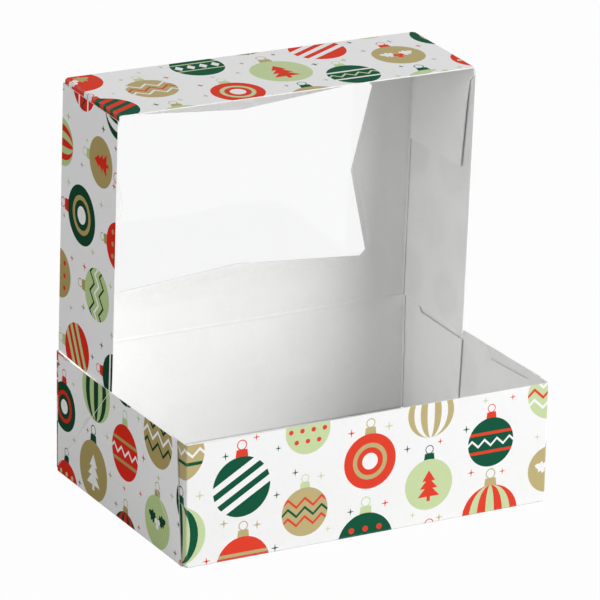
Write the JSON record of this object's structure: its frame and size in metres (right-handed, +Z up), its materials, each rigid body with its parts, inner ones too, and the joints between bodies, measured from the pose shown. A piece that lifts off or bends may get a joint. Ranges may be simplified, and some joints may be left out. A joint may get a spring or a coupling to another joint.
{
  "type": "window bakery box",
  "caption": "One-piece folded paperboard bakery box with a hinged lid, glued corner flaps and a pinched rectangular film window.",
  "frame": {"origin": "centre of the base's underside, on the surface the box stands on", "axes": "+X right along the front, +Y from the front to the hinged back, +Z up"},
  "size_m": [0.2032, 0.1462, 0.2087],
  "materials": {
    "printed_board": "semi-gloss print outside, plain inside",
    "plain_board": "plain uncoated inside",
    "clear_film": "clear glossy film",
    "dried_glue": "dried adhesive"
  },
  "bodies": {
    "base": {"base_bottom": "plain_board", "base_front_wall": "printed_board", "base_back_wall": "printed_board", "base_left_wall": "printed_board", "base_right_wall": "printed_board", "base_front_left_flap": "printed_board", "base_front_right_flap": "printed_board", "base_back_left_flap": "printed_board", "base_back_right_flap": "printed_board", "glue_front_left": "dried_glue", "glue_front_right": "dried_glue", "glue_back_left": "dried_glue", "glue_back_right": "dried_glue"},
    "lid": {"lid_window_panel": "printed_board", "lid_left_wall": "printed_board", "lid_right_wall": "printed_board", "lid_front_wall": "printed_board", "lid_left_flap": "printed_board", "lid_right_flap": "printed_board", "lid_glue_left": "dried_glue", "lid_glue_right": "dried_glue", "window_film": "clear_film", "film_glue": "dried_glue"}
  },
  "joints": [
    {"name": "lid_hinge", "type": "hinge", "parent": "base", "child": "lid", "pos_m": [0, 0.07278, 0.06405], "axis": [1, 0, 0], "range_deg": [-92.3, 87.7], "deforming": ["base_front_wall"]}
  ]
}
